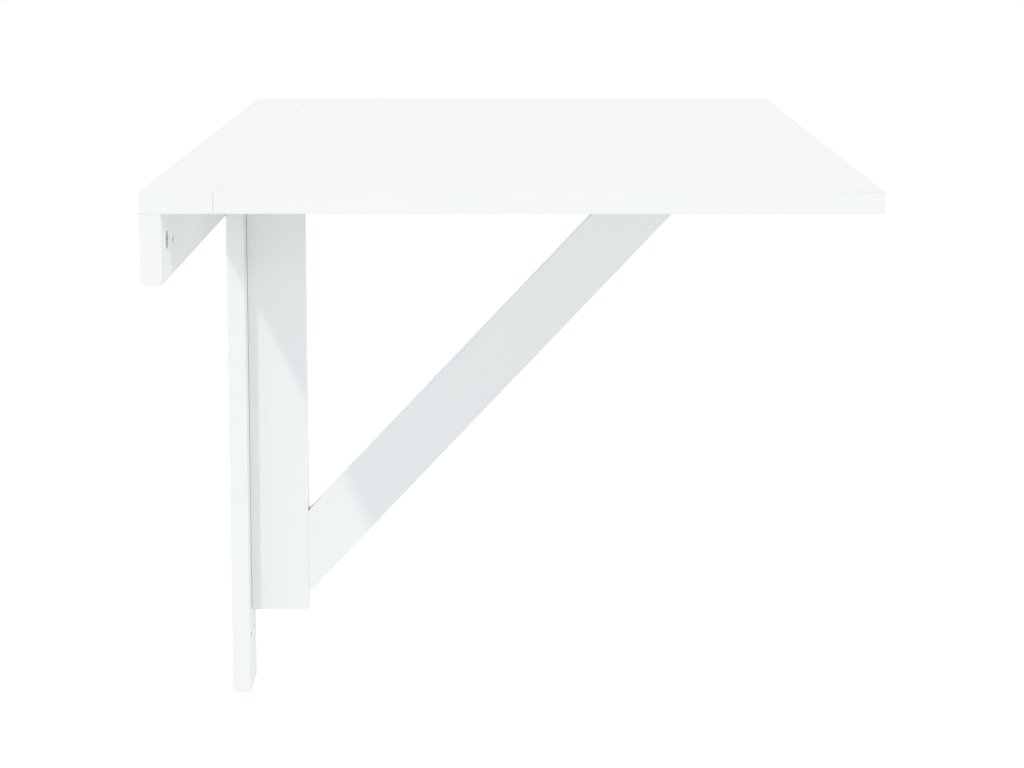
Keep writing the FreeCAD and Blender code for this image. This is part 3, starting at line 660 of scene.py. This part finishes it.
def faced_board(name, axis, middle, half, shades=("#F1F4F4", "#F3F6F6")):
    """Melamine paper pressed on chipboard: an even cool white with the fine pearl of the press
    plate. Away from its two faces, as in screw holes and on edges that carry no edging, the
    bare chips show, pale straw and coarse."""
    dull, bright = shades
    material, tree, place = start_material(name)
    drift = node(tree, "TexNoise", {"Vector": place, "Scale": per(140 * MM), "Detail": 2.0})
    white = node(tree, "Mix", {0: drift.outputs["Fac"], 6: linear(dull), 7: linear(bright)},
                 data_type="RGBA")
    chips = node(tree, "TexVoronoi", {"Vector": place, "Scale": per(1.6 * MM)})
    tone = node(tree, "SeparateColor", {"Color": chips.outputs["Color"]})
    straw = node(tree, "Mix", {0: tone.outputs["Red"], 6: linear("#D0C2A8"), 7: linear("#EDE4D3")},
                 data_type="RGBA")
    parts = node(tree, "SeparateXYZ", {"Vector": place})
    away = node(tree, "Math", {0: parts.outputs[axis], 1: middle}, operation="SUBTRACT")
    distance = node(tree, "Math", {0: away.outputs[0]}, operation="ABSOLUTE")
    on_face = node(tree, "Math", {0: distance.outputs[0], 1: half - PAPER},
                   operation="GREATER_THAN").outputs[0]
    colour = node(tree, "Mix", {0: on_face, 6: straw.outputs[2], 7: white.outputs[2]},
                  data_type="RGBA")
    pearl = node(tree, "TexNoise", {"Vector": place, "Scale": per(0.9 * MM), "Detail": 2.0})
    relief = node(tree, "Mix", {0: on_face, 2: chips.outputs["Distance"], 3: pearl.outputs["Fac"]})
    bump = node(tree, "Bump", {"Height": relief.outputs[0], "Strength": 0.25,
                               "Distance": 0.03 * MM})
    smudge = node(tree, "TexNoise", {"Vector": place, "Scale": per(60 * MM), "Detail": 3.0})
    sheen = node(tree, "MapRange", {"Value": smudge.outputs["Fac"], "To Min": 0.36,
                                    "To Max": 0.46})
    rough = node(tree, "Mix", {0: on_face, 2: 0.9, 3: sheen.outputs["Result"]})
    board = node(tree, "BsdfPrincipled", {
        "Base Color": colour.outputs[2], "Roughness": rough.outputs[0],
        "Normal": bump.outputs["Normal"], "IOR": 1.5})
    node(tree, "OutputMaterial", {"Surface": board.outputs["BSDF"]})
    return material


def edging_plastic():
    """Extruded plastic edging: the same white a shade glossier, with faint marks of the scraper
    that trimmed it."""
    material, tree, place = start_material("extruded_white_edging")
    drift = node(tree, "TexNoise", {"Vector": place, "Scale": per(90 * MM), "Detail": 2.0})
    white = node(tree, "Mix", {0: drift.outputs["Fac"], 6: linear("#F2F5F5"), 7: linear("#F5F7F7")},
                 data_type="RGBA")
    scrape = node(tree, "TexNoise", {"Vector": place, "Scale": per(0.5 * MM), "Detail": 3.0})
    bump = node(tree, "Bump", {"Height": scrape.outputs["Fac"], "Strength": 0.2,
                               "Distance": 0.015 * MM})
    rough = node(tree, "MapRange", {"Value": scrape.outputs["Fac"], "To Min": 0.28, "To Max": 0.4})
    plastic = node(tree, "BsdfPrincipled", {
        "Base Color": white.outputs[2], "Roughness": rough.outputs["Result"],
        "Normal": bump.outputs["Normal"], "IOR": 1.52})
    node(tree, "OutputMaterial", {"Surface": plastic.outputs["BSDF"]})
    return material


def plated_steel(name, dark, light, stretch):
    """Rolled steel with a thin zinc plating: bright and a little blue, streaked along the
    rolling, with a soft mottle where the plating took unevenly."""
    material, tree, place = start_material(name)
    # Real streaks are finer than this. They are drawn as coarse as they need to show close up.
    stretched = node(tree, "Mapping", {"Vector": place, "Scale": stretch})
    streaks = node(tree, "TexNoise", {"Vector": stretched.outputs[0], "Scale": per(0.5 * MM),
                                      "Detail": 4.0})
    mottle = node(tree, "TexNoise", {"Vector": place, "Scale": per(5 * MM), "Detail": 3.0})
    plating = node(tree, "Mix", {0: mottle.outputs["Fac"], 6: linear(dark), 7: linear(light)},
                   data_type="RGBA")
    bump = node(tree, "Bump", {"Height": streaks.outputs["Fac"], "Strength": 0.3,
                               "Distance": 0.02 * MM})
    rough = node(tree, "MapRange", {"Value": streaks.outputs["Fac"], "To Min": 0.22,
                                    "To Max": 0.42})
    steel = node(tree, "BsdfPrincipled", {
        "Base Color": plating.outputs[2], "Metallic": 1.0, "Roughness": rough.outputs["Result"],
        "Normal": bump.outputs["Normal"]})
    node(tree, "OutputMaterial", {"Surface": steel.outputs["BSDF"]})
    return material


def cast_zinc():
    """Die-cast zinc: pale grey and dull, slightly pitted, darker where the cast skin pooled."""
    material, tree, place = start_material("die_cast_zinc")
    pool = node(tree, "TexNoise", {"Vector": place, "Scale": per(3 * MM), "Detail": 4.0})
    skin = node(tree, "Mix", {0: pool.outputs["Fac"], 6: linear("#B4B7B9"), 7: linear("#DDDFE0")},
                data_type="RGBA")
    # Real pits are finer than this. They are drawn as coarse as they need to show close up.
    pits = node(tree, "TexNoise", {"Vector": place, "Scale": per(0.4 * MM), "Detail": 2.0})
    bump = node(tree, "Bump", {"Height": pits.outputs["Fac"], "Strength": 0.4,
                               "Distance": 0.03 * MM})
    rough = node(tree, "MapRange", {"Value": pool.outputs["Fac"], "To Min": 0.35, "To Max": 0.55})
    casting = node(tree, "BsdfPrincipled", {
        "Base Color": skin.outputs[2], "Metallic": 1.0, "Roughness": rough.outputs["Result"],
        "Normal": bump.outputs["Normal"]})
    node(tree, "OutputMaterial", {"Surface": casting.outputs["BSDF"]})
    return material


def turned_beech():
    """Plain beech: pale pinkish brown with short darker flecks along the grain."""
    material, tree, place = start_material("plain_beech")
    wash = node(tree, "TexNoise", {"Vector": place, "Scale": per(8 * MM), "Detail": 2.0})
    pale = node(tree, "Mix", {0: wash.outputs["Fac"], 6: linear("#D2AC7E"), 7: linear("#E3C79F")},
                data_type="RGBA")
    flecks = node(tree, "TexNoise", {"Vector": place, "Scale": per(0.8 * MM), "Detail": 3.0})
    fleck = node(tree, "MapRange", {"Value": flecks.outputs["Fac"], "From Min": 0.45,
                                    "From Max": 0.75})
    wood = node(tree, "Mix", {0: fleck.outputs["Result"], 6: pale.outputs[2],
                              7: linear("#B98A5B")}, data_type="RGBA")
    bump = node(tree, "Bump", {"Height": flecks.outputs["Fac"], "Strength": 0.3,
                               "Distance": 0.05 * MM})
    beech_shader = node(tree, "BsdfPrincipled", {
        "Base Color": wood.outputs[2], "Roughness": 0.65, "Normal": bump.outputs["Normal"]})
    node(tree, "OutputMaterial", {"Surface": beech_shader.outputs["BSDF"]})
    return material


def moulded_nylon():
    """Moulded nylon: a milky white, a little soft in the light, with a fine spark-eroded skin."""
    material, tree, place = start_material("moulded_nylon")
    cloud = node(tree, "TexNoise", {"Vector": place, "Scale": per(12 * MM), "Detail": 2.0})
    milk = node(tree, "Mix", {0: cloud.outputs["Fac"], 6: linear("#E6E6E0"), 7: linear("#EFEFEA")},
                data_type="RGBA")
    # A real spark-eroded skin is finer than this. It is drawn as coarse as it needs to show
    # close up.
    skin = node(tree, "TexNoise", {"Vector": place, "Scale": per(0.35 * MM), "Detail": 2.0})
    bump = node(tree, "Bump", {"Height": skin.outputs["Fac"], "Strength": 0.4,
                               "Distance": 0.03 * MM})
    rough = node(tree, "MapRange", {"Value": skin.outputs["Fac"], "To Min": 0.42, "To Max": 0.58})
    moulding = node(tree, "BsdfPrincipled", {
        "Base Color": milk.outputs[2], "Roughness": rough.outputs["Result"],
        "Normal": bump.outputs["Normal"], "IOR": 1.53})
    node(tree, "OutputMaterial", {"Surface": moulding.outputs["BSDF"]})
    return material


top_middle = (SHELF_LOW[2] + SHELF_HIGH[2]) / 2
top_half = (SHELF_HIGH[2] - SHELF_LOW[2]) / 2
rail_middle = (RAIL_LOW[0] + RAIL_HIGH[0]) / 2
board_middle = (BOARD_LOW[0] + BOARD_HIGH[0]) / 2
# The top's white is painted a shade brighter than that of the other boards: painted light, standing in
# for the light that falls on the top from above, as the real boards share one melamine paper.
top_faces_painted_lighter = faced_board("white_melamine_top_painted_lighter", "Z", top_middle, top_half, ("#F4F6F7", "#F6F8F9"))
rail_faces = faced_board("white_melamine_rail", "X", rail_middle, RAIL_THICK / 2)
board_faces = faced_board("white_melamine_wall_board", "X", board_middle, BOARD_HIGH[0] - board_middle)
bracket_faces = faced_board("white_melamine_bracket", "Y", 0.0, BRACKET_HALF)
edging_white = edging_plastic()
hinge_steel = plated_steel("rolled_zinc_plated_steel", "#B2B6BA", "#D6D9DB", (1.0, 0.12, 1.0))
screw_steel = plated_steel("zinc_plated_screws", "#A6A9AC", "#CED1D3", (1.0, 1.0, 1.0))
zinc = cast_zinc()
beech = turned_beech()
nylon = moulded_nylon()

CAD_FINISHES = {
    "shelf_strip": top_faces_painted_lighter, "leaf_panel": top_faces_painted_lighter, "wall_rail": rail_faces,
    "wall_board": board_faces, "bracket_post": bracket_faces, "bracket_arm": bracket_faces,
    "bracket_brace": bracket_faces,
}
for name, material in CAD_FINISHES.items():
    for material_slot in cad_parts[name].material_slots:
        material_slot.material = material


# ---- Pieces.

def show(name, made, material, body, cad_node):
    """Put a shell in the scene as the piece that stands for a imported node."""
    points, faces, smooth = made
    mesh = bpy.data.meshes.new(name)
    mesh.from_pydata(points.tolist(), [], faces)
    mesh.polygons.foreach_set("use_smooth", smooth)
    mesh.materials.append(material)
    piece = bpy.data.objects.new(name, mesh)
    bpy.context.scene.collection.objects.link(piece)
    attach(piece, body)
    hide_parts(cad_node)
    return piece


BROKEN_EDGE = 0.12 * MM
SHARP_ANGLE = 40


def soften(piece):
    """Break every sharp edge by a small chamfer of two facets."""
    bevel = piece.modifiers.new("broken_edges", "BEVEL")
    bevel.width = BROKEN_EDGE
    bevel.segments = 2
    bevel.limit_method = "ANGLE"
    bevel.angle_limit = math.radians(SHARP_ANGLE)
    bevel.harden_normals = True


show("shelf_edging", panel_edging(SHELF_LOW, SHELF_HIGH, False), edging_white, "wall_frame",
     "shelf_edge_bands")
show("leaf_edging", panel_edging(LEAF_LOW, LEAF_HIGH, True), edging_white, "leaf",
     "leaf_edge_bands")
show("rail_edging", hanging_edging(RAIL_LOW, RAIL_HIGH), edging_white, "wall_frame",
     "rail_edge_bands")
show("wall_board_edging", hanging_edging(BOARD_LOW, BOARD_HIGH), edging_white, "wall_frame",
     "board_edge_bands")
show("bracket_edging", bracket_edging(), edging_white, "bracket", "bracket_edge_bands")

cam_height = UNDERSIDE - CAM_DROP
show("cam_lock_cases", copies(cam_lock(), [((CAM_SEAT, y, cam_height), ALONG_Y, ALONG_Z)
                                           for y in CAM_YS]),
     zinc, "wall_frame", "cam_locks")
show("cam_lock_bolts", copies(cam_bolt(), [((rail_middle, y, cam_height), ALONG_X, ALONG_Y)
                                           for y in CAM_YS]),
     screw_steel, "wall_frame", "cam_bolts")
dowel_foot = UNDERSIDE - SHELF_DOWEL_DROP
show("fluted_shelf_dowels", copies(shelf_dowel, [((rail_middle, y, dowel_foot), ALONG_X, ALONG_Y)
                                                 for y in DOWEL_YS]),
     beech, "wall_frame", "shelf_dowels")

board_screw_spots = [
    pointing((BOARD_FACE, side * BOARD_SCREW_REACH, level * BOARD_SCREW_RISE), -ALONG_X)
    for side in (1, -1) for level in (1, -1)]
show("threaded_board_screws", copies(board_screw, board_screw_spots), screw_steel, "wall_frame",
     "board_screws")

fixed_wing = hinge_wing(range(0, KNUCKLES, 2))
moving_wing = hinge_wing(range(1, KNUCKLES, 2))
domed_pin = hinge_pin()
leaf_hinge_spots = [(SEAM_MIDDLE, y, UNDERSIDE - PIN_OFFSET) for y in LEAF_HINGE_YS]
swing_hinge_spots = [(SWING_X, SWING_Y, z) for z in SWING_HINGE_ZS]
SPREADS = (PLATE_HOLE_SPREAD, -PLATE_HOLE_SPREAD)


def hinge_set(kind, cad_kind, spots, fixed_axes, moving_axes, pin_axes, moving_body):
    """The two wings and the pin of each hinge of a kind."""
    fixed_name, moving_name = cad_kind
    soften(show(kind + "_fixed_wings", copies(fixed_wing, [(s, *fixed_axes) for s in spots]),
                hinge_steel, "wall_frame", fixed_name))
    soften(show(kind + "_moving_wings", copies(moving_wing, [(s, *moving_axes) for s in spots]),
                hinge_steel, moving_body, moving_name))
    show(kind + "_domed_pins", copies(domed_pin, [(s, *pin_axes) for s in spots]),
         screw_steel, "wall_frame", kind + "_pins")


hinge_set("leaf_hinge", ("leaf_hinge_shelf_plates", "leaf_hinge_leaf_plates"), leaf_hinge_spots,
          (-ALONG_X, ALONG_Z), (ALONG_X, ALONG_Z), (ALONG_X, ALONG_Z), "leaf")
hinge_set("swing_hinge", ("swing_hinge_board_plates", "swing_hinge_post_plates"),
          swing_hinge_spots, (ALONG_Y, -ALONG_X), (ALONG_X, -ALONG_Y), (ALONG_X, ALONG_Y),
          "bracket")

for side, body, word in ((-1, "wall_frame", "shelf"), (1, "leaf", "leaf")):
    spots = [pointing((SEAM_MIDDLE + side * PLATE_HOLE_REACH, y + along, UNDERSIDE - PLATE_THICK),
                      ALONG_Z) for y in LEAF_HINGE_YS for along in SPREADS]
    show(f"threaded_{word}_hinge_screws", copies(hinge_screw, spots), screw_steel, body,
         f"leaf_hinge_{word}_screws")
spots = [pointing((BOARD_FACE + PLATE_THICK, SWING_Y + PLATE_HOLE_REACH, z + along), -ALONG_X)
         for z in SWING_HINGE_ZS for along in SPREADS]
show("threaded_board_hinge_screws", copies(hinge_screw, spots), screw_steel, "wall_frame",
     "swing_hinge_board_screws")
spots = [pointing((SWING_X + PLATE_HOLE_REACH, BRACKET_HALF + PLATE_THICK, z + along), -ALONG_Y)
         for z in SWING_HINGE_ZS for along in SPREADS]
show("threaded_post_hinge_screws", copies(hinge_screw, spots), screw_steel, "bracket",
     "swing_hinge_post_screws")

show("fluted_bracket_dowels", copies(joint_dowel, across_dowels + upright_dowels), beech,
     "bracket", "bracket_dowels")
show("threaded_frame_screws", copies(frame_screw, across_screws + [down_screw]), screw_steel,
     "bracket", "frame_screws")
show("rounded_bearing_pad", copies(bearing_pad(), [((PAD_MIDDLE, 0, ARM_TOP), ALONG_X, ALONG_Y)]),
     nylon, "bracket", "bearing_pad")
show("threaded_pad_screw", copies(hinge_screw, [pad_screw_spot]), screw_steel, "bracket",
     "pad_screw")

# ---- Camera, floor and light.

# It looks down by the tilt, in degrees, and a small shift keeps the uprights nearly parallel.
CAMERA_TILT = 8.12
camera_data = bpy.data.cameras.new("camera")
camera_data.lens = 91.66
camera_data.sensor_width = 36
camera_data.shift_x = -0.0017
camera_data.shift_y = -0.11
camera = bpy.data.objects.new("camera", camera_data)
camera.location = (0.3015, -2.5784, 0.2793)
camera.rotation_euler = (math.radians(90 - CAMERA_TILT), 0, 0)
bpy.context.scene.collection.objects.link(camera)
bpy.context.scene.camera = camera


def sun(name, direction, strength, spread, colour):
    """A lamp whose light all goes one way; its spread, in degrees, softens the shadows."""
    data = bpy.data.lights.new(name, "SUN")
    data.energy = strength
    data.angle = math.radians(spread)
    data.color = linear(colour)[:3]
    lamp = bpy.data.objects.new(name, data)
    lamp.rotation_euler = Vector(direction).to_track_quat("-Z", "Y").to_euler()
    bpy.context.scene.collection.objects.link(lamp)


WARM_WHITE = "#F7FFE0"
sun("key_from_upper_left", (0.4255, 1.0, -0.864), 0.51, 2.2, WARM_WHITE)
sun("low_fill_from_right", (-4.0, 1.0, -0.81), 0.455, 4.0, "#FFFFFF")
sun("soft_overhead", (0.0, 0.1, -1.0), 0.61, 70.0, WARM_WHITE)


def seen_white(tree):
    """1 for rays from the camera, a mirror or glass, which see the studio as plain white."""
    rays = node(tree, "LightPath")
    seen = node(tree, "Math", {0: rays.outputs["Is Camera Ray"], 1: rays.outputs["Is Glossy Ray"]},
                operation="MAXIMUM")
    return node(tree, "Math", {0: seen.outputs[0], 1: rays.outputs["Is Transmission Ray"]},
                operation="MAXIMUM").outputs[0]


FLOOR_HEIGHT = -1.4
FLOOR_REACH = 40
FLOOR_GLOW = 0.3
floor_corners = [(x * FLOOR_REACH, y * FLOOR_REACH, FLOOR_HEIGHT)
                 for x, y in ((-1, -1), (1, -1), (1, 1), (-1, 1))]
floor_mesh = bpy.data.meshes.new("floor")
floor_mesh.from_pydata(floor_corners, [], [(0, 1, 2, 3)])
floor = bpy.data.objects.new("floor", floor_mesh)
bpy.context.scene.collection.objects.link(floor)
floor_material, floor_tree = start_material("painted_studio_floor")[:2]
floor_glow = node(floor_tree, "MapRange", {"Value": seen_white(floor_tree), "To Max": FLOOR_GLOW})
floor_shader = node(floor_tree, "BsdfPrincipled", {
    "Base Color": linear("#F0F0F0"), "Roughness": 0.9, "Emission Color": linear("#FFFFFF"),
    "Emission Strength": floor_glow.outputs["Result"]})
node(floor_tree, "OutputMaterial", {"Surface": floor_shader.outputs["BSDF"]})
floor_mesh.materials.append(floor_material)

# The studio round the object is a little cool. Its strength in a direction is the level plus the
# lean along that direction, so it lights most from the left and in front.
STUDIO_LEVEL = 0.71
STUDIO_LEAN = (-0.31, -0.23, 0.0)
world = bpy.data.worlds.new("studio")
bpy.context.scene.world = world
world.use_nodes = True
world_tree = world.node_tree
world_tree.nodes.clear()
direction = node(world_tree, "TexCoord").outputs["Generated"]
lean = node(world_tree, "VectorMath", {0: direction, 1: STUDIO_LEAN}, operation="DOT_PRODUCT")
strength = node(world_tree, "Math", {0: lean.outputs["Value"], 1: STUDIO_LEVEL}, operation="ADD")
seen = seen_white(world_tree)
studio_strength = node(world_tree, "Mix", {0: seen, 2: strength.outputs[0], 3: 1.0})
studio_colour = node(world_tree, "Mix", {0: seen, 6: linear("#F7F5FF"), 7: linear("#FFFFFF")},
                     data_type="RGBA")
studio = node(world_tree, "Background", {"Color": studio_colour.outputs[2],
                                         "Strength": studio_strength.outputs[0]})
node(world_tree, "OutputWorld", {"Surface": studio.outputs["Background"]})

bpy.context.scene.view_settings.view_transform = "Standard"
